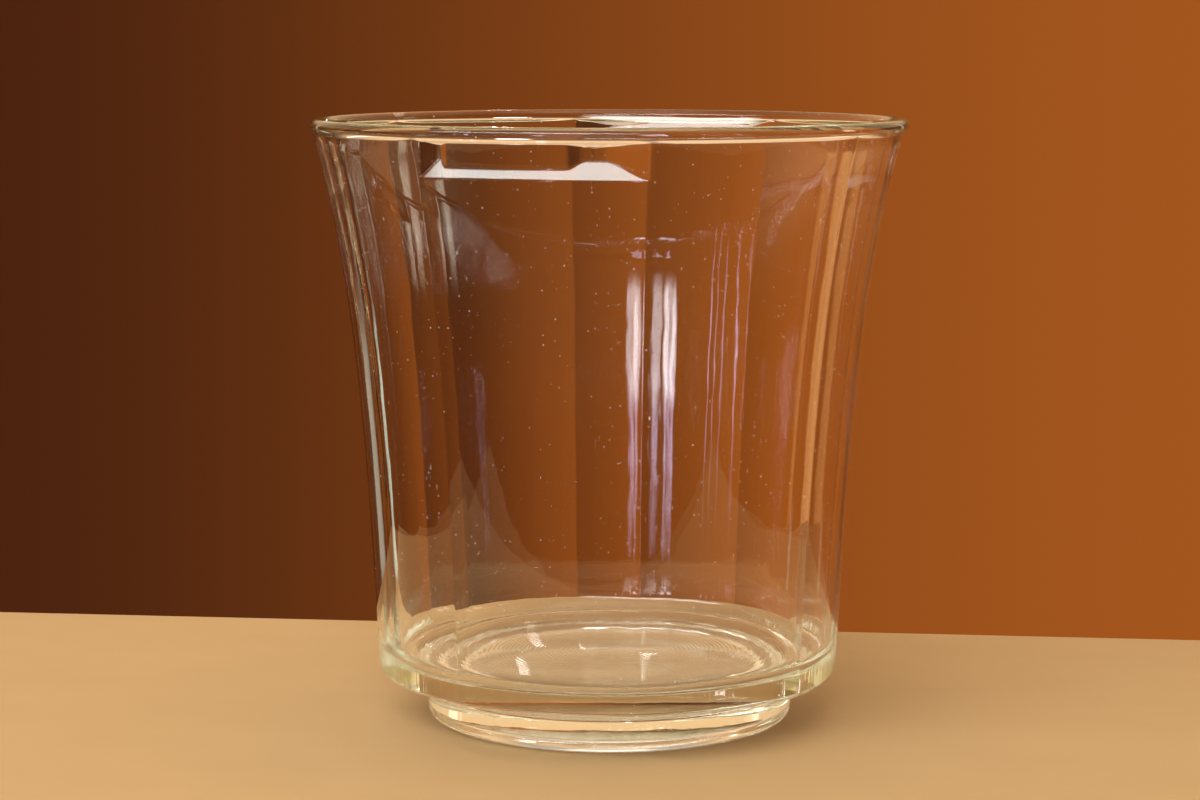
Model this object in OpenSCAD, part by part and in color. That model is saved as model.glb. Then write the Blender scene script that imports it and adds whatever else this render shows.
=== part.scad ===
// Flared pressed-glass vessel with eight bowed panels, a heavy heel, a round foot ring,
// a rim bead and two recesses under the rim for a clip-on bail handle. One casting.
// Frame: origin at the middle of the foot's underside, +Z up, a recess faces -Y and +Y.

/* [Vessel] */
// Height from the table to the top of the rim
height = 142; // [138:1:148]
// Outer radius of the rim bead
rim_r = 70; // [69.5:0.1:72]
// Number of panels round the wall
panels = 8; // [6:2:12]
// Distance of each panel's own axis behind the vessel's axis: more makes flatter panels
panel_offset = 18; // [8:1:24]
// Wall thickness at the ridges between panels
wall_t = 4.6; // [4.4:0.1:5]

/* [Wall flare] */
// Ridge radius that the wall would have if it ran on down to the table
base_r = 54.2; // [52:0.1:54.5]
// Widening for each millimetre of height
taper = 0.054; // [0.04:0.001:0.056]
// Extra radius that the flare adds by the rim
flare = 7.7; // [6:0.1:7.9]
// How late the flare comes
flare_power = 4; // [3:0.5:5]
// Rings of facets up the wall
wall_rings = 14; // [8:1:24]
// Facets across each panel
panel_facets = 10; // [4:2:12]

/* [Heel and foot] */
// Height of the heel's lower edge
heel_z = 11.2; // [10:0.1:12]
// Bevel of the heel's lower edge
heel_bevel = 0.8; // [0.4:0.1:1.2]
// Outer radius of the foot ring
foot_r = 43.5; // [41:0.5:46]
// Height of the foot ring
foot_h = 8.4; // [7:0.1:9]
// Rounding of the foot ring's lower edge
foot_round = 1.6; // [0.5:0.1:2]
// Radius of the shallow hollow under the base
hollow_r = 37; // [30:0.5:38]
// Depth of the hollow under the base
hollow_depth = 2.4; // [1:0.1:4]

/* [Cavity] */
// Height of the inside floor
floor_z = 15; // [14:0.5:18]
// Radius of the fillet between floor and wall
floor_fillet = 5; // [4:0.5:7]

/* [Rim] */
// Radial thickness of the rim bead
rim_t = 4.4; // [4:0.1:5]
// Height of the rim bead
bead_h = 3.4; // [3:0.1:4]

/* [Handle recesses] */
// Height of the ledge's outer edge
ledge_z = 130.6; // [128:0.1:132]
// Slope of the ledge from level
ledge_slope = 70; // [60:1:72]
// Depth of the long middle stretch
recess_depth = 1.5; // [1:0.1:1.5]
// Depth of the scoop at one end, which ramps out to the panel's edge
scoop_depth = 1.9; // [1.6:0.1:2]
// Depth of the catch notch at the other end
notch_depth = 2.3; // [2:0.1:2.4]
// Angle from the middle of the panel to the near side of the scoop
scoop_at = 8.5; // [7:0.5:11]
// Angle from the middle of the panel to the near side of the catch notch
notch_at = 16.7; // [15:0.1:18]

/* [Hidden] */

$fn = 128;
glass = [0.84, 0.92, 0.86, 0.4];
// Straight pieces in each rounded edge
arc_steps = 6;
// How far cutters run past what they cut
overshoot = 5;
// Height between the floor's fillet and the first facet of the inside wall
fillet_lead = 5;

half_panel = 180 / panels;
bead_r = bead_h / 2;
bead_z = height - bead_h;
bead_mid_z = height - bead_r;
inner_rim_r = rim_r - rim_t;
fillet_top_z = floor_z + floor_fillet;
recess_z = (ledge_z + bead_z) / 2;
// Angle over which an end pocket's near side leans in
pocket_lead = 1.5;
// Angles over which the backs of the scoop and the notch ramp out to the panel's edge
scoop_ramp = 5.5;
notch_ramp = 2.5;
// Direction of the front panel
front = -90;
// Beyond the vessel in every direction
reach = 2 * rim_r;

// Radius of the ridges between panels at height z
function ridge_r(z) = base_r + taper * z + flare * pow(z / bead_z, flare_power);
// Radius of a panel about its own axis, where the ridges beside it have radius r
function panel_r(r) = norm([r * cos(half_panel) + panel_offset, r * sin(half_panel)]);
// Distance from the vessel's axis to the panelled wall, a degrees from the middle of a panel
function wall_r(a, z) =
    sqrt(pow(panel_r(ridge_r(z)), 2) - pow(panel_offset * sin(a), 2)) - panel_offset * cos(a);
// n + 1 values from a to b
function steps(a, b, n) = [for (i = [0:n]) a + (b - a) * i / n];
// Point at radius r and angle a
function polar(r, a) = [r * cos(a), r * sin(a)];
// Points of an arc of radius r about [x, z], from angle a to angle b
function arc(x, z, r, a, b) = [for (t = steps(a, b, arc_steps)) [x, z] + polar(r, t)];

// Solid block with the outline of the eight panels. Its lower edge is bevelled
module panelled_block() {
    around = panels * panel_facets;
    levels = concat([heel_z], steps(heel_z + heel_bevel, bead_mid_z, wall_rings));
    top = len(levels) - 1;
    // Angle from the middle of the panel of corner k
    corner = [for (k = [0:around - 1]) ((k % panel_facets) / panel_facets - 0.5) * 2 * half_panel];
    points = [
        for (i = [0:top]) for (k = [0:around - 1])
            let (r = wall_r(corner[k], levels[i]) - (i == 0 ? heel_bevel : 0))
            concat(polar(r, (k / panel_facets - 0.5) * 2 * half_panel + front), levels[i])
    ];
    sides = [
        for (i = [0:top - 1]) for (k = [0:around - 1])
            let (a = i * around + k, b = i * around + (k + 1) % around)
            each [[a, a + around, b], [b, a + around, b + around]]
    ];
    ends = [
        [for (k = [0:around - 1]) k],
        [for (k = [around - 1:-1:0]) top * around + k]
    ];
    polyhedron(points, concat(sides, ends));
}

// Foot ring, and the underside that spreads from it to the heel
module foot_block() {
    rotate_extrude()
        polygon(concat(
            [[0, 0]],
            arc(foot_r - foot_round, foot_round, foot_round, -90, 0),
            [
                [foot_r, foot_h],
                [wall_r(0, heel_z) - heel_bevel, heel_z],
                [wall_r(0, heel_z) - 2 * heel_bevel, heel_z + heel_bevel],
                [0, heel_z + heel_bevel]
            ]
        ));
}

// Rounded ring that closes the top of the wall
module rim_block() {
    rotate_extrude()
        polygon(concat(
            [[0, bead_z]],
            arc(rim_r - bead_r, bead_mid_z, bead_r, -90, 90),
            [[0, height]]
        ));
}

// Inside of the vessel, up to the round inner edge of the rim
module cavity() {
    rotate_extrude()
        polygon(concat(
            [[0, floor_z]],
            arc(ridge_r(fillet_top_z) - wall_t - floor_fillet, fillet_top_z, floor_fillet, -90, 0),
            [for (z = steps(fillet_top_z + fillet_lead, bead_z, wall_rings)) [ridge_r(z) - wall_t, z]],
            arc(inner_rim_r + bead_r, bead_mid_z, bead_r, 180, 90),
            [[inner_rim_r + bead_r, height + overshoot], [0, height + overshoot]]
        ));
}

// Shallow hollow that leaves the foot standing on a ring
module base_hollow() {
    translate([0, 0, -overshoot])
        cylinder(r = hollow_r, h = overshoot + hollow_depth);
}

// Band between the sloping ledge and the underside of the rim, deeper than any recess.
// It turns about the front panel's own axis, so that the ledge runs level along the panel
module recess_band() {
    edge = panel_r(ridge_r(ledge_z));
    deep = edge - recess_depth - notch_depth;
    wide = edge + overshoot;
    translate([0, panel_offset, 0])
        rotate_extrude()
            polygon([
                [deep, ledge_z + (edge - deep) * tan(ledge_slope)],
                [wide, ledge_z + (edge - wide) * tan(ledge_slope)],
                [wide, bead_mid_z],
                [deep, bead_z]
            ]);
}

// Long middle stretch, from the notch to the scoop, parallel to the panel
module recess_middle() {
    difference() {
        linear_extrude(height)
            polygon([
                [0, 0],
                polar(reach, front - notch_at - pocket_lead),
                polar(reach, front + scoop_at + pocket_lead)
            ]);
        translate([0, panel_offset, ledge_z])
            cylinder(
                r1 = panel_r(ridge_r(ledge_z)) - recess_depth,
                r2 = panel_r(ridge_r(bead_mid_z)) - recess_depth,
                h = bead_mid_z - ledge_z
            );
    }
}

// Pocket of one end of the recess, level with the flare. It starts at angle near on side s of
// the panel's middle, and its back ends in a ramp that comes out at the panel's edge
module recess_pocket(depth, near, ramp, s) {
    back_r = wall_r(near, ledge_z) - depth;
    edge_r = ridge_r(recess_z);
    difference() {
        linear_extrude(height)
            polygon([
                polar(back_r - overshoot, front + s * (near + pocket_lead)),
                polar(back_r, front + s * (half_panel - ramp)),
                polar(edge_r, front + s * half_panel),
                polar(edge_r + overshoot, front + s * half_panel),
                polar(edge_r + overshoot, front + s * near)
            ]);
        translate([0, 0, ledge_z])
            cylinder(r1 = back_r, r2 = wall_r(near, bead_mid_z) - depth, h = bead_mid_z - ledge_z);
    }
}

// One handle recess: the band, kept to the shape of its three stretches
module handle_recess() {
    intersection() {
        recess_band();
        union() {
            recess_middle();
            recess_pocket(scoop_depth, scoop_at, scoop_ramp, 1);
            recess_pocket(notch_depth, notch_at, notch_ramp, -1);
        }
    }
}

module glass_vessel() {
    color(glass)
        difference() {
            union() {
                panelled_block();
                foot_block();
                rim_block();
            }
            cavity();
            base_hollow();
            handle_recess();
            rotate(180)
                handle_recess();
        }
}

glass_vessel();
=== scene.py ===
"""A flared vessel of clear pressed glass: eight bowed panels, a heavy heel on a foot ring,
a round rim bead, two handle recesses under the rim, and fine turning rings on the floor."""
import math

import bmesh
import bpy
import numpy as np
from mathutils import Matrix, Vector


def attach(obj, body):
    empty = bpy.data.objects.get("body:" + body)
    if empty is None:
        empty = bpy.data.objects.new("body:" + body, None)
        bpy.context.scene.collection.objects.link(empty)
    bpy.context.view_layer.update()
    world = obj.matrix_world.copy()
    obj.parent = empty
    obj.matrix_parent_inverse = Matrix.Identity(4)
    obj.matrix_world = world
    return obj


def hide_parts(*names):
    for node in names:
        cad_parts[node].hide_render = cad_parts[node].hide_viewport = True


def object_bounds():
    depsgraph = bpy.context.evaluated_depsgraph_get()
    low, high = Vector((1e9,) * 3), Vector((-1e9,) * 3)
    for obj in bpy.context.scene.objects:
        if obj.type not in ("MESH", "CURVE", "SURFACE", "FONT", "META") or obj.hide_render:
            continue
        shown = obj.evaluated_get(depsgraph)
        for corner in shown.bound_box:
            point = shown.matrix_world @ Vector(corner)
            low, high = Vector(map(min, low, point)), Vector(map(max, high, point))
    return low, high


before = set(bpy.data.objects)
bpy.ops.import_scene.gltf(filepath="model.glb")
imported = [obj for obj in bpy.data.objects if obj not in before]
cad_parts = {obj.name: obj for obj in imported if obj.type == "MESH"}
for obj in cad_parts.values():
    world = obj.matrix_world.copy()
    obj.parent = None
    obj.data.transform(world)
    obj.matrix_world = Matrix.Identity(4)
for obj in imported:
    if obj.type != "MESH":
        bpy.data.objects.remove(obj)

MM = 0.001
NODE = "glass_vessel"
cad_low, cad_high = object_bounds()

# ---------------------------------------------------------------- dimensions, in millimetres
HEIGHT = cad_high.z / MM
RIM_R = min(cad_high.x, cad_high.y, -cad_low.x, -cad_low.y) / MM

# Wall: the ridges' radius rises as BASE_R + TAPER * z + FLARE * (z / BEAD_Z) ** FLARE_POWER
PANELS = 8
PANEL_OFFSET = 18.0
HALF_PANEL = math.pi / PANELS
WALL_T = 4.6
BASE_R = 54.2
TAPER = 0.054
FLARE = 7.7
FLARE_POWER = 4
RIDGE_SOFT = 0.012

# Rim bead
RIM_T = 4.4
BEAD_R = 1.7
BEAD_Z = HEIGHT - 2 * BEAD_R
BEAD_MID_Z = HEIGHT - BEAD_R
BEAD_SOFT = 0.10

# Underside: a hollow, the ring that the vessel stands on, and a slope from the foot to the heel
HOLLOW_R = 36.5
HOLLOW_DEPTH = 2.4
HOLLOW_ROUND = 1.4
HOLLOW_FLARE = 1.6
STAND_ROUND = 0.7
FOOT_R = 43.5
FOOT_H = 8.4
FOOT_ROUND = 2.6
FOOT_TOP_ROUND = 1.2
# The slope is round up to ROUND_R. From there it turns panelled, wholly so at PANEL_LEAD
# inside the heel's lower edge
ROUND_R, ROUND_Z = 48, 9.6
SLOPE_R, SLOPE_Z = 49, 9.85
PANEL_LEAD = 1.5

# Heel: its lower edge, the edge's rounding, and where the wall takes over
HEEL_Z = 11.2
HEEL_ROUND = 1.3
HEEL_LAST_Z = 16

# Floor, with fine turning rings
FLOOR_Z = 15.0
FLOOR_FILLET = 5.0
RING_PITCH = 1.2
RING_DEPTH = 0.04
# Radius of the smallest ring at the axis, on the underside and on the floor
AXIS_R = 0.4

# Handle recess: a ledge below, a roof that rises outward under the rim, and a back between
LEDGE_Z = 130.6
LEDGE_SLOPE = math.radians(70)
LEDGE_DEPTH = 1.5
POCKET_SLOPE = math.radians(48)
ROOF_Z = 139.0
ROOF_RISE = 0.4
EDGE_SOFT = 0.05
CORNER_SOFT = 0.05
# Depth of the recess along its panel, with a hook's notch at one end and a shallow scoop near
# the other: (degrees from the panel's middle, depth)
RECESS_DEPTHS = [
    (-22.3, 0.0), (-21.6, 0.35), (-20.4, 1.5), (-19.6, 2.4), (-18.9, 2.8), (-18.2, 2.4),
    (-17.3, 1.55), (-16.8, 1.5), (8.0, 1.5), (8.8, 1.9), (10.2, 2.45), (12.5, 2.8),
    (15.0, 2.7), (17.2, 2.1), (19.6, 1.2), (21.4, 0.6), (22.9, 0.2),
]
# Degrees over which the depth is averaged, either way, and in how many samples
RECESS_BLUR = 0.3
RECESS_SAMPLES = 5
# The notched end leans inward by this many degrees for each millimetre of height, in full from
# LEAN_FULL degrees off the panel's middle
NOTCH_LEAN = 0.15
LEAN_FULL = 20
# Depth that stands for no recess, and how far outside the wall the recess then is
NO_RECESS = -1
CLEAR = 1

# ---------------------------------------------------------------- mesh density
ROUND_COLUMNS = 144
PLAIN_COLUMNS = 28
RECESS_STEP = math.radians(0.36)
# First columns from a ridge into a recess panel, as shares of its half width
RIDGE_CROWD = [0, 0.002, 0.005, 0.009]
ROUND_STEPS = 6
HEEL_STEPS = 8
BEAD_STEPS = 8
FILLET_STEPS = 9
INSIDE_RINGS = 44
RINGS_PER_TURN = 4
# Space between the floor's fillet and the rings next to it, on the wall and on the floor
WALL_LEAD = 3
FLOOR_LEAD = 0.3
# Rings of the outside wall, closest where the recess's ledge and roof are: (from, to, count)
WALL_RINGS = [
    (18, 128.5, 40), (129.4, 130.2, 3), (130.35, 131.0, 6), (131.3, 132.5, 5),
    (132.7, 135.1, 17), (135.5, 137.5, 5), (137.8, 139.5, 18), (139.65, BEAD_MID_Z, 4),
]

# ---------------------------------------------------------------- glass and floor
GLASS_IOR = 1.51
# Colour and density of the glass's depth
GLASS_CAST = (0.88, 0.92, 0.73, 1)
GLASS_DENSITY = 6.5
# Dust specks: cells per metre, the distances from a cell's point between which a speck fades,
# and the range of the cell's random number over which specks get stronger
SPECK_SCALE = 400
SPECK_FADE = (0.04, 0.095)
SPECK_PICK = (0.35, 0.9)
# Scratches of use: noise drawn out upward, the range over which it shows, and its most
SCRATCH_SCALE = 1900
SCRATCH_STRETCH = (1, 1, 0.25)
SCRATCH_FADE = (0.86, 0.92)
SCRATCH_MOST = 0.8
# Transmission and roughness where the wear is full
WORN_CLEAR = 0.35
WORN_ROUGH = 0.4
# Bumps: scale of the noise, strength, and height in metres. The heel's noise runs over the
# direction from the vessel's axis
RIPPLE_SCALE, RIPPLE_STRENGTH, RIPPLE_HEIGHT = 55, 0.06, 0.001
FLOW_SCALE, FLOW_STRENGTH, FLOW_HEIGHT = 260, 0.03, 0.0004
FLOW_STRETCH = (1, 1, 0.08)
HEEL_SCALE, HEEL_STRENGTH, HEEL_HEIGHT = 23, 0.4, 0.0004
# The heel's ripples fade out between these heights, and fade in between these radii, in mm
HEEL_FADE_Z = (16.5, 19.5)
HEEL_FADE_R = (49, 53)

FLOOR_ROUGH = 0.7
FLOOR_SHINE = 0.15
FLOOR_MOTTLE = 14
FLOOR_TONES = (0.57, 0.37, 0.18, 1), (0.62, 0.41, 0.20, 1)
# Board, in metres: its width, depth and thickness, how far behind the vessel's axis its far
# edge is, the rounding of its edges, and the gap that keeps it clear of the foot
BOARD = (0.46, 0.28, 0.02)
BOARD_BACK = 0.100
BOARD_ROUND = 0.003
BOARD_STEPS = 4
BOARD_GAP = 0.02 * MM

# ---------------------------------------------------------------- camera, light and surround
# Camera: how far round from the -Y panel it stands and how far down it looks, its distance and
# height from the rim's radius, its small step to the left, and its lens and sensor in mm
CAMERA_AZIMUTH = math.radians(15.8)
CAMERA_PITCH = math.radians(7.396)
CAMERA_REACH = 9.7056 * RIM_R * MM
CAMERA_HEIGHT = 2.3351 * RIM_R * MM
CAMERA_SIDE = 0.003291 * CAMERA_REACH
LENS = 86.6
SENSOR = 36
# The board's far edge is almost square to the view
BOARD_TURN = CAMERA_AZIMUTH - math.radians(6.5)

# Distance of every light from the middle of the vessel, in metres
LIGHT_REACH = 1.1
# Soft boxes: name, azimuth from the camera's and elevation in degrees, width and height in
# metres, radiance in W/m2/sr, colour, and the share of the half width that fades out
LIGHTS = [
    ("overhead", 0, 82, 1.0, 1.0, 1.0, (1.0, 0.91, 0.78), 0.5),
    ("ceiling", -31, 38.5, 1.8, 0.2, 14.5, (0.95, 1.0, 0.96), 0.35),
    ("lamp", -25.5, 6.5, 0.10, 0.24, 45, (1.0, 0.96, 1.0), 1),
    ("lamp_tail", -25.5, -1, 0.06, 0.30, 10, (0.8, 0.7, 1.0), 1),
    ("slit_left", -53, 5.5, 0.03, 0.5, 12, (0.85, 0.70, 1.0), 1),
    ("slit_far_left", -58, 5.5, 0.03, 0.5, 8, (0.85, 0.70, 1.0), 1),
    ("window_right", 99, 14, 0.17, 0.32, 5, (1.0, 0.86, 0.66), 0.6),
    ("table_left", -141, -11.5, 0.16, 0.16, 1.0, (0.85, 1.0, 0.80), 0.5),
    ("table_right", 112, -13.5, 0.22, 0.16, 1.4, (1.0, 0.55, 0.20), 0.5),
    ("edge_left", -146, 8, 0.12, 0.6, 0.8, (0.95, 1.0, 0.88), 1),
    ("edge_right", 146, 8, 0.12, 0.6, 1.0, (1.0, 0.90, 0.75), 1),
    ("foot_left", 168, 16, 0.09, 0.05, 2.0, (0.85, 0.92, 1.0), 1),
    ("foot_right", -165, 17, 0.14, 0.05, 2.5, (1.0, 0.97, 0.9), 1),
    ("floor_glint", -176.6, 7, 0.03, 0.025, 80, (1.0, 0.97, 0.9), 1),
]
# Light runs a long way inside thick glass walls
BOUNCES = 40

# Surround: brown that gets lighter from left to right, duller above the horizon, a warm pale
# sky beyond the vessel, and soft white overhead. Each layer comes in over a range of an axis
# of the direction, as the camera's azimuth turns it
BROWN_LEFT = (0.07, 0.017, 0.005, 1)
BROWN_RIGHT = (0.37, 0.093, 0.013, 1)
BROWN_SPAN = ("X", -0.22, 0.22)
DUSK = (0.22, 0.10, 0.035, 1)
DUSK_SPAN = ("Z", 0.02, 0.12)
FAR_SKY = (1.0, 0.64, 0.34, 1)
FAR_SKY_SPANS = ("Z", 0.09, 0.22), ("Y", -0.5, 0.3)
WHITE = (0.50, 0.45, 0.38, 1)
WHITE_SPAN = ("Z", 0.65, 0.9)


# ---------------------------------------------------------------- shape
def soft_min(values, k):
    """The least of some arrays, with its corners rounded over about k."""
    least = np.minimum.reduce(values)
    return least - k * np.log(sum(np.exp((least - v) / k) for v in values))


def soft_max(values, k):
    """The greatest of some arrays, with its corners rounded over about k."""
    return -soft_min([-v for v in values], k)


def ridge_r(z):
    """Radius of the ridges between panels at height z."""
    return BASE_R + TAPER * z + FLARE * (z / BEAD_Z) ** FLARE_POWER


def panelled(angle, ridge):
    """Radius of the panelled outline at angles from the -Y panel's middle, for ridges of
    that radius. Each panel is an arc about an axis PANEL_OFFSET behind the vessel's."""
    panel_r = np.hypot(ridge * math.cos(HALF_PANEL) + PANEL_OFFSET, ridge * math.sin(HALF_PANEL))
    across = (angle + HALF_PANEL) % (2 * HALF_PANEL) - HALF_PANEL
    arcs = [
        np.sqrt(panel_r ** 2 - (PANEL_OFFSET * np.sin(across + turn)) ** 2)
        - PANEL_OFFSET * np.cos(across + turn)
        for turn in (-2 * HALF_PANEL, 0, 2 * HALF_PANEL)
    ]
    return soft_min(arcs, RIDGE_SOFT)


def recess_depth(angle, z):
    """Depth of the handle recess at angles from its panel's middle, NO_RECESS off its panel."""
    at = np.degrees((angle + math.pi / 2) % math.pi - math.pi / 2)
    at = at - np.clip(-at / LEAN_FULL, 0, 1) * NOTCH_LEAN * (z - LEDGE_Z)
    places, depths = np.array(RECESS_DEPTHS).T
    blur = np.linspace(-RECESS_BLUR, RECESS_BLUR, RECESS_SAMPLES)
    samples = [np.interp(at + b, places, depths, left=NO_RECESS, right=NO_RECESS) for b in blur]
    return sum(samples) / len(samples)


def ledge_run(z):
    """How far the ledge reaches inward at height z. Behind LEDGE_DEPTH it is less steep."""
    rise = LEDGE_DEPTH * math.tan(LEDGE_SLOPE)
    above = z - LEDGE_Z
    if above < rise:
        return above / math.tan(LEDGE_SLOPE)
    return LEDGE_DEPTH + (above - rise) / math.tan(POCKET_SLOPE)


def outer_r(angle, z):
    """Radius of the outside at height z, between the heel and the middle of the rim bead."""
    wall = panelled(angle, ridge_r(z))
    depth = recess_depth(angle, z)
    back = wall - depth
    ledge = panelled(angle, ridge_r(LEDGE_Z)) - ledge_run(z)
    roof = wall + (z - ROOF_Z) / ROOF_RISE
    carved = soft_max([back, ledge, roof], CORNER_SOFT)
    side = soft_min([wall, np.where(depth > NO_RECESS, carved, wall + CLEAR)], EDGE_SOFT)
    below = BEAD_R ** 2 - (z - BEAD_MID_Z) ** 2
    bead = RIM_R - BEAD_R + math.sqrt(below) if below > 0 else 0.0
    return soft_max([side, np.full_like(side, bead)], BEAD_SOFT)


def rounded(corners, steps=ROUND_STEPS):
    """Points of an outline through (radius, height, rounding) corners."""
    points = [np.array(corners[0][:2])]
    for before, corner, after in zip(corners, corners[1:], corners[2:]):
        here = np.array(corner[:2])
        inward = np.array(before[:2]) - here
        onward = np.array(after[:2]) - here
        inward /= np.linalg.norm(inward)
        onward /= np.linalg.norm(onward)
        half = math.acos(np.clip(inward @ onward, -1, 1)) / 2
        reach = corner[2] / math.tan(half)
        middle = inward + onward
        centre = here + middle / np.linalg.norm(middle) * corner[2] / math.sin(half)
        start = here + inward * reach - centre
        end = here + onward * reach - centre
        for t in np.linspace(0, 1, steps + 1):
            swing = start * (1 - t) + end * t
            points.append(centre + swing / np.linalg.norm(swing) * corner[2])
    points.append(np.array(corners[-1][:2]))
    return points


def column_angles():
    """Angles of the outer wall's columns: crowded at the ridges and across the recesses."""
    angles = []
    for panel in range(PANELS):
        middle = panel * 2 * HALF_PANEL
        if panel % (PANELS // 2) == 0:
            count = round(2 * HALF_PANEL / RECESS_STEP)
            even = np.linspace(-1, 1, count + 1)[1:-1]
            near = 1 - np.array(RIDGE_CROWD)
            across = np.concatenate([-near, even, near[:0:-1]])
        else:
            across = np.sin(np.linspace(-1, 1, PLAIN_COLUMNS + 1)[:-1] * math.pi / 2)
        angles.append(middle + across * HALF_PANEL)
    return np.concatenate(angles)


def ring(radius, z, angles):
    """Points round the axis. Angle 0 is at -Y and 90 degrees is at +X."""
    radius = np.broadcast_to(radius, angles.shape)
    return np.stack([radius * np.sin(angles), -radius * np.cos(angles), np.full_like(angles, z)], 1)


def underside_rings(fine, coarse):
    """Rings from the middle of the underside to HEEL_LAST_Z on the heel's outside."""
    foot = rounded([
        (AXIS_R, HOLLOW_DEPTH, 0), (HOLLOW_R, HOLLOW_DEPTH, HOLLOW_ROUND),
        (HOLLOW_R + HOLLOW_FLARE, 0, STAND_ROUND), (FOOT_R, 0, FOOT_ROUND),
        (FOOT_R, FOOT_H, FOOT_TOP_ROUND), (ROUND_R, ROUND_Z, 0),
    ])
    rings = [ring(r, z, coarse) for r, z in foot]
    heel_r = ridge_r(HEEL_Z)
    heel = rounded([
        (SLOPE_R, SLOPE_Z, 0), (heel_r, HEEL_Z, HEEL_ROUND), (ridge_r(HEEL_LAST_Z), HEEL_LAST_Z, 0),
    ], HEEL_STEPS)
    for r, z in heel:
        share = np.clip((r - ROUND_R) / (heel_r - PANEL_LEAD - ROUND_R), 0, 1)
        rings.append(ring(r + share * (panelled(fine, r) - r), z, fine))
    return rings


def rim_rings(fine, coarse):
    """Rings over the rim bead, from the middle of its outside to the middle of its inside."""
    quarter = np.linspace(0, math.pi / 2, BEAD_STEPS + 1)
    outside = RIM_R - BEAD_R
    inside = RIM_R - RIM_T + BEAD_R
    rings = [
        ring(outside + BEAD_R * math.cos(t), BEAD_MID_Z + BEAD_R * math.sin(t), fine)
        for t in quarter[1:]
    ]
    rings += [
        ring(inside - BEAD_R * math.cos(t), BEAD_MID_Z + BEAD_R * math.sin(t), coarse)
        for t in quarter[::-1]
    ]
    return rings


def inside_rings(coarse):
    """Rings down the inside wall and round the fillet to the middle of the floor, which has
    turning rings."""
    fillet_top = FLOOR_Z + FLOOR_FILLET
    fillet_r = ridge_r(fillet_top) - WALL_T - FLOOR_FILLET
    down = np.linspace(BEAD_Z, fillet_top + WALL_LEAD, INSIDE_RINGS)
    rings = [ring(ridge_r(z) - WALL_T, z, coarse) for z in down]
    for t in np.linspace(0, math.pi / 2, FILLET_STEPS + 1):
        r = fillet_r + FLOOR_FILLET * math.cos(t)
        rings.append(ring(r, fillet_top - FLOOR_FILLET * math.sin(t), coarse))
    turns = int(fillet_r / RING_PITCH)
    for r in np.linspace(fillet_r - FLOOR_LEAD, AXIS_R, turns * RINGS_PER_TURN):
        groove = RING_DEPTH * (math.cos(2 * math.pi * r / RING_PITCH) - 1) / 2
        rings.append(ring(r, FLOOR_Z + groove, coarse))
    return rings


def vessel_rings():
    """Rings of points from the middle of the underside, up the outside and down the inside
    to the middle of the floor."""
    fine = column_angles()
    coarse = np.arange(ROUND_COLUMNS) * 2 * math.pi / ROUND_COLUMNS - HALF_PANEL
    heights = np.concatenate([np.linspace(*band) for band in WALL_RINGS])
    wall = [ring(outer_r(fine, z), z, fine) for z in heights]
    return underside_rings(fine, coarse) + wall + rim_rings(fine, coarse) + inside_rings(coarse)


def stitch(first, second, a, b):
    """Faces between two rings whose first vertices are a and b. Rings with different counts
    are joined by triangles, in step round the axis."""
    n, m = len(first), len(second)
    if n == m:
        return [(a + i, a + (i + 1) % n, b + (i + 1) % n, b + i) for i in range(n)]
    turn = [np.unwrap(np.arctan2(p[:, 0], -p[:, 1])) for p in (first, second)]
    faces, i, j = [], 0, 0
    while i < n or j < m:
        one = turn[0][(i + 1) % n] + (2 * math.pi if i + 1 >= n else 0)
        two = turn[1][(j + 1) % m] + (2 * math.pi if j + 1 >= m else 0)
        if j >= m or (i < n and one <= two):
            faces.append((a + i % n, a + (i + 1) % n, b + j % m))
            i += 1
        else:
            faces.append((a + i % n, b + (j + 1) % m, b + j % m))
            j += 1
    return faces


def build_vessel():
    """The whole casting as one closed mesh."""
    rings = vessel_rings()
    starts = np.cumsum([0] + [len(r) for r in rings])
    faces = []
    for k in range(len(rings) - 1):
        faces += stitch(rings[k], rings[k + 1], int(starts[k]), int(starts[k + 1]))
    faces.append(tuple(range(len(rings[0])))[::-1])
    faces.append(tuple(range(int(starts[-2]), int(starts[-1]))))
    mesh = bpy.data.meshes.new("pressed_glass_body")
    mesh.from_pydata((np.concatenate(rings) * MM).tolist(), [], faces)
    mesh.validate()
    mesh.polygons.foreach_set("use_smooth", [True] * len(mesh.polygons))
    vessel = bpy.data.objects.new("pressed_glass_body", mesh)
    bpy.context.scene.collection.objects.link(vessel)
    return vessel


# ---------------------------------------------------------------- nodes
def new_material(name):
    """A material, its nodes and links, and its Principled shader."""
    material = bpy.data.materials.new(name)
    material.use_nodes = True
    nodes = material.node_tree.nodes
    return material, nodes, material.node_tree.links, nodes["Principled BSDF"]


def noise(nodes, links, place, stretch, scale, detail=2):
    """Noise over a place, drawn out along an axis where stretch is below 1."""
    mapping = nodes.new("ShaderNodeMapping")
    mapping.inputs["Scale"].default_value = stretch
    texture = nodes.new("ShaderNodeTexNoise")
    texture.inputs["Scale"].default_value = scale
    texture.inputs["Detail"].default_value = detail
    links.new(place, mapping.inputs["Vector"])
    links.new(mapping.outputs["Vector"], texture.inputs["Vector"])
    return texture.outputs["Fac"]


def between(nodes, links, value, start, end, low=0, high=1):
    """Value from start..end brought to low..high, smoothly."""
    node = nodes.new("ShaderNodeMapRange")
    node.interpolation_type = "SMOOTHSTEP"
    node.inputs["From Min"].default_value = start
    node.inputs["From Max"].default_value = end
    node.inputs["To Min"].default_value = low
    node.inputs["To Max"].default_value = high
    links.new(value, node.inputs["Value"])
    return node.outputs["Result"]


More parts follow.
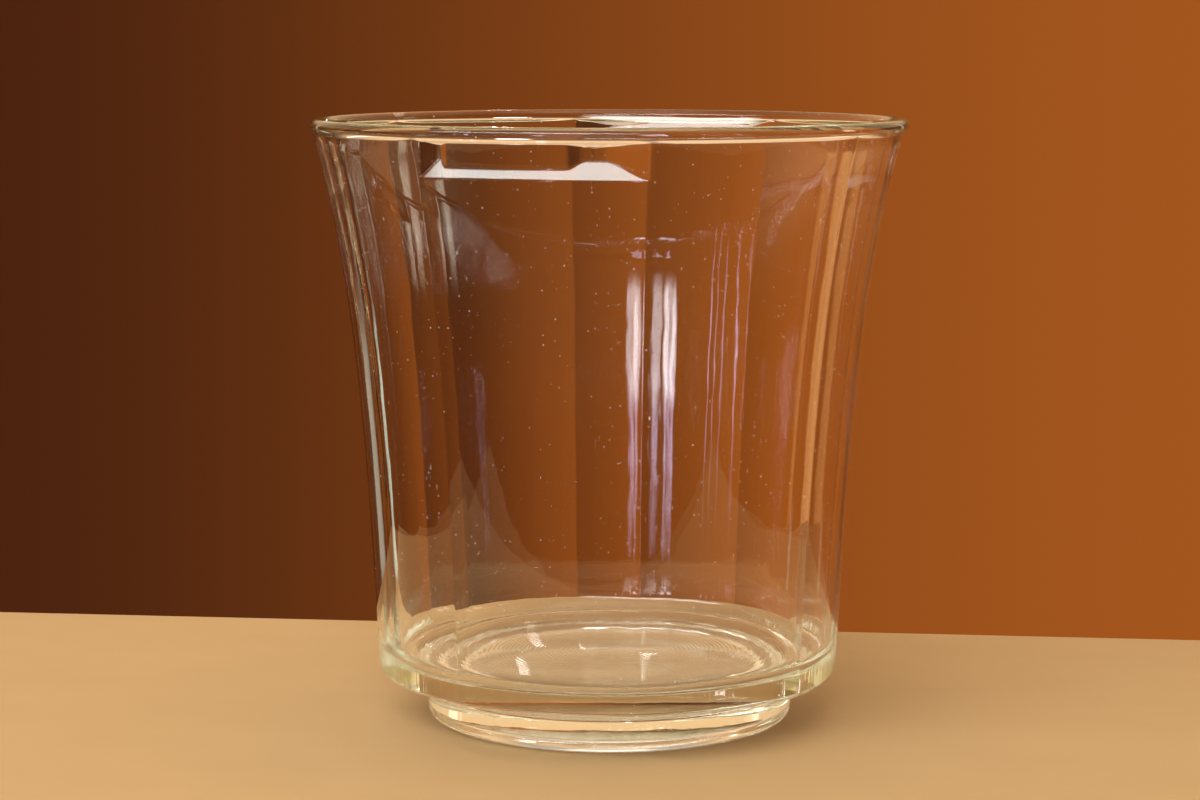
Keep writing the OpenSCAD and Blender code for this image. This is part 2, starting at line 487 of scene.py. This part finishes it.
def math_node(nodes, links, operation, first, *others):
    """The operation done on two or more values in turn."""
    for other in others:
        node = nodes.new("ShaderNodeMath")
        node.operation = operation
        links.new(first, node.inputs[0])
        links.new(other, node.inputs[1])
        first = node.outputs["Value"]
    return first


def vector_node(nodes, links, operation, vector, other=None):
    """The node of an operation done on a vector, and on a fixed one where it takes two."""
    node = nodes.new("ShaderNodeVectorMath")
    node.operation = operation
    links.new(vector, node.inputs[0])
    if other is not None:
        node.inputs[1].default_value = other
    return node


def split_node(nodes, links, vector):
    """The outputs X, Y and Z of a vector."""
    node = nodes.new("ShaderNodeSeparateXYZ")
    links.new(vector, node.inputs["Vector"])
    return node.outputs


def bumped(nodes, links, height, strength, distance, under=None):
    """A normal with a bump of that height, on top of the normal under it."""
    bump = nodes.new("ShaderNodeBump")
    bump.inputs["Strength"].default_value = strength
    bump.inputs["Distance"].default_value = distance
    links.new(height, bump.inputs["Height"])
    if under is not None:
        links.new(under, bump.inputs["Normal"])
    return bump.outputs["Normal"]


# ---------------------------------------------------------------- materials
def heel_ripple(nodes, links, place):
    """Upright ripples round the outside of the heel, and 0 elsewhere. They change only with
    the direction from the vessel's axis."""
    start, end = HEEL_FADE_Z
    low = between(nodes, links, split_node(nodes, links, place)["Z"], start * MM, end * MM, 1, 0)
    flat = vector_node(nodes, links, "MULTIPLY", place, (1, 1, 0)).outputs["Vector"]
    radius = vector_node(nodes, links, "LENGTH", flat).outputs["Value"]
    start, end = HEEL_FADE_R
    far = between(nodes, links, radius, start * MM, end * MM)
    direction = vector_node(nodes, links, "NORMALIZE", flat).outputs["Vector"]
    ripple = noise(nodes, links, direction, (1, 1, 1), HEEL_SCALE)
    return math_node(nodes, links, "MULTIPLY", low, far, ripple)


def wear(nodes, links, place):
    """How far dust specks and fine scratches hide the glass, from 0 to 1."""
    specks = nodes.new("ShaderNodeTexVoronoi")
    specks.inputs["Scale"].default_value = SPECK_SCALE
    links.new(place, specks.inputs["Vector"])
    pick = nodes.new("ShaderNodeSeparateColor")
    links.new(specks.outputs["Color"], pick.inputs["Color"])
    near = between(nodes, links, specks.outputs["Distance"], *SPECK_FADE, 1, 0)
    picked = between(nodes, links, pick.outputs["Red"], *SPECK_PICK)
    speck = math_node(nodes, links, "MULTIPLY", near, picked)
    lines = noise(nodes, links, place, SCRATCH_STRETCH, SCRATCH_SCALE, 0)
    scratch = between(nodes, links, lines, *SCRATCH_FADE, 0, SCRATCH_MOST)
    return math_node(nodes, links, "MAXIMUM", speck, scratch)


def clear_glass():
    """Clear pressed glass: slow rippling, upright flow lines, a rippled heel, dust specks,
    fine scratches of use, and a green-yellow cast in its depth."""
    material, nodes, links, shader = new_material("clear_pressed_glass")
    shader.inputs["Base Color"].default_value = (1, 1, 1, 1)
    shader.inputs["IOR"].default_value = GLASS_IOR
    # The transmission under the linked wear, for a program that can't follow the nodes
    shader.inputs["Transmission Weight"].default_value = 1
    place = nodes.new("ShaderNodeTexCoord").outputs["Object"]

    worn = wear(nodes, links, place)
    clearness = between(nodes, links, worn, 0, 1, 1, WORN_CLEAR)
    links.new(clearness, shader.inputs["Transmission Weight"])
    links.new(between(nodes, links, worn, 0, 1, 0, WORN_ROUGH), shader.inputs["Roughness"])

    ripple = noise(nodes, links, place, (1, 1, 1), RIPPLE_SCALE)
    flow = noise(nodes, links, place, FLOW_STRETCH, FLOW_SCALE)
    heel = heel_ripple(nodes, links, place)
    normal = bumped(nodes, links, ripple, RIPPLE_STRENGTH, RIPPLE_HEIGHT)
    normal = bumped(nodes, links, flow, FLOW_STRENGTH, FLOW_HEIGHT, normal)
    normal = bumped(nodes, links, heel, HEEL_STRENGTH, HEEL_HEIGHT, normal)
    links.new(normal, shader.inputs["Normal"])

    depth = nodes.new("ShaderNodeVolumeAbsorption")
    depth.inputs["Color"].default_value = GLASS_CAST
    depth.inputs["Density"].default_value = GLASS_DENSITY
    links.new(depth.outputs["Volume"], nodes["Material Output"].inputs["Volume"])
    return material


def floor_material():
    """Plain pale floor with a barely visible mottle."""
    material, nodes, links, shader = new_material("pale_floor")
    shader.inputs["Roughness"].default_value = FLOOR_ROUGH
    shader.inputs["Specular IOR Level"].default_value = FLOOR_SHINE
    mottle = nodes.new("ShaderNodeTexNoise")
    mottle.inputs["Scale"].default_value = FLOOR_MOTTLE
    tone = nodes.new("ShaderNodeMix")
    tone.data_type = "RGBA"
    tone.inputs["A"].default_value, tone.inputs["B"].default_value = FLOOR_TONES
    links.new(mottle.outputs["Fac"], tone.inputs["Factor"])
    links.new(tone.outputs["Result"], shader.inputs["Base Color"])
    return material


# ---------------------------------------------------------------- stage, light and camera
def add_camera():
    """The camera stands at CAMERA_AZIMUTH round the vessel, a little to the left of its axis."""
    camera = bpy.data.objects.new("camera", bpy.data.cameras.new("camera"))
    camera.data.lens = LENS
    camera.data.sensor_width = SENSOR
    back = Vector((math.sin(CAMERA_AZIMUTH), -math.cos(CAMERA_AZIMUTH), 0))
    right = Vector((math.cos(CAMERA_AZIMUTH), math.sin(CAMERA_AZIMUTH), 0))
    camera.location = back * CAMERA_REACH - right * CAMERA_SIDE
    camera.location.z = CAMERA_HEIGHT
    camera.rotation_euler = (math.pi / 2 - CAMERA_PITCH, 0, CAMERA_AZIMUTH)
    bpy.context.scene.collection.objects.link(camera)
    bpy.context.scene.camera = camera


def add_floor():
    """A plain pale board with rounded edges. Its far edge runs close behind the vessel."""
    shape = bmesh.new()
    bmesh.ops.create_cube(shape, size=1, matrix=Matrix.Diagonal((*BOARD, 1)))
    bmesh.ops.bevel(
        shape, geom=shape.edges[:], offset=BOARD_ROUND, segments=BOARD_STEPS, profile=0.5,
        affect="EDGES",
    )
    middle = Vector((0, BOARD_BACK - BOARD[1] / 2, cad_low.z - BOARD_GAP - BOARD[2] / 2))
    bmesh.ops.translate(shape, verts=shape.verts, vec=middle)
    bmesh.ops.rotate(shape, verts=shape.verts, matrix=Matrix.Rotation(BOARD_TURN, 3, "Z"))
    mesh = bpy.data.meshes.new("floor")
    shape.to_mesh(mesh)
    shape.free()
    floor = bpy.data.objects.new("floor", mesh)
    floor.data.materials.append(floor_material())
    bpy.context.scene.collection.objects.link(floor)


def soften(lamp, edge):
    """Fades a soft box to nothing at its rim, over that share of its half width."""
    lamp.data.use_nodes = True
    nodes, links = lamp.data.node_tree.nodes, lamp.data.node_tree.links
    place = nodes.new("ShaderNodeNewGeometry").outputs["Parametric"]
    centred = vector_node(nodes, links, "SUBTRACT", place, (0.5, 0.5, 0)).outputs["Vector"]
    outward = vector_node(nodes, links, "ABSOLUTE", centred).outputs["Vector"]
    axes = split_node(nodes, links, outward)
    fade = [between(nodes, links, axes[axis], 0.5 - edge / 2, 0.5, 1, 0) for axis in "XY"]
    links.new(math_node(nodes, links, "MULTIPLY", *fade), nodes["Emission"].inputs["Strength"])


def add_light(name, azimuth, elevation, width, height, radiance, colour, edge):
    """A soft box LIGHT_REACH away, turned to the middle of the vessel."""
    around, above = CAMERA_AZIMUTH + math.radians(azimuth), math.radians(elevation)
    out = Vector((
        math.sin(around) * math.cos(above),
        -math.cos(around) * math.cos(above),
        math.sin(above),
    ))
    lamp = bpy.data.objects.new(name, bpy.data.lights.new(name, "AREA"))
    lamp.data.shape = "RECTANGLE"
    lamp.data.size = width
    lamp.data.size_y = height
    lamp.data.energy = radiance * math.pi * width * height
    lamp.data.color = colour
    lamp.location = out * LIGHT_REACH + Vector((0, 0, HEIGHT * MM / 2))
    lamp.rotation_euler = out.to_track_quat("Z", "Y").to_euler()
    lamp.visible_camera = False
    soften(lamp, edge)
    bpy.context.scene.collection.objects.link(lamp)


def add_world():
    """The surround, whose layers are turned with the camera's azimuth."""
    world = bpy.data.worlds.new("studio")
    world.use_nodes = True
    nodes, links = world.node_tree.nodes, world.node_tree.links
    place = nodes.new("ShaderNodeTexCoord")
    turned = nodes.new("ShaderNodeVectorRotate")
    turned.rotation_type = "Z_AXIS"
    turned.inputs["Angle"].default_value = -CAMERA_AZIMUTH
    links.new(place.outputs["Generated"], turned.inputs["Vector"])
    axes = split_node(nodes, links, turned.outputs["Vector"])

    def layered(under, over, *spans):
        """Mix of a colour or output with the colour over it, by the product of the spans."""
        shares = [between(nodes, links, axes[axis], start, end) for axis, start, end in spans]
        mix = nodes.new("ShaderNodeMix")
        mix.data_type = "RGBA"
        if isinstance(under, tuple):
            mix.inputs["A"].default_value = under
        else:
            links.new(under, mix.inputs["A"])
        mix.inputs["B"].default_value = over
        links.new(math_node(nodes, links, "MULTIPLY", *shares), mix.inputs["Factor"])
        return mix.outputs["Result"]

    tone = layered(BROWN_LEFT, BROWN_RIGHT, BROWN_SPAN)
    tone = layered(tone, DUSK, DUSK_SPAN)
    tone = layered(tone, FAR_SKY, *FAR_SKY_SPANS)
    tone = layered(tone, WHITE, WHITE_SPAN)
    links.new(tone, nodes["Background"].inputs["Color"])
    bpy.context.scene.world = world


def set_look():
    """Colours as they are lit, and enough bounces for the walls to stay clear."""
    bpy.context.scene.view_settings.view_transform = "Standard"
    cycles = bpy.context.scene.cycles
    cycles.max_bounces = cycles.glossy_bounces = cycles.transmission_bounces = BOUNCES


set_look()
add_camera()
add_floor()
add_world()
for light in LIGHTS:
    add_light(*light)

body = build_vessel()
body.data.materials.append(clear_glass())
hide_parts(NODE)
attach(body, "root")
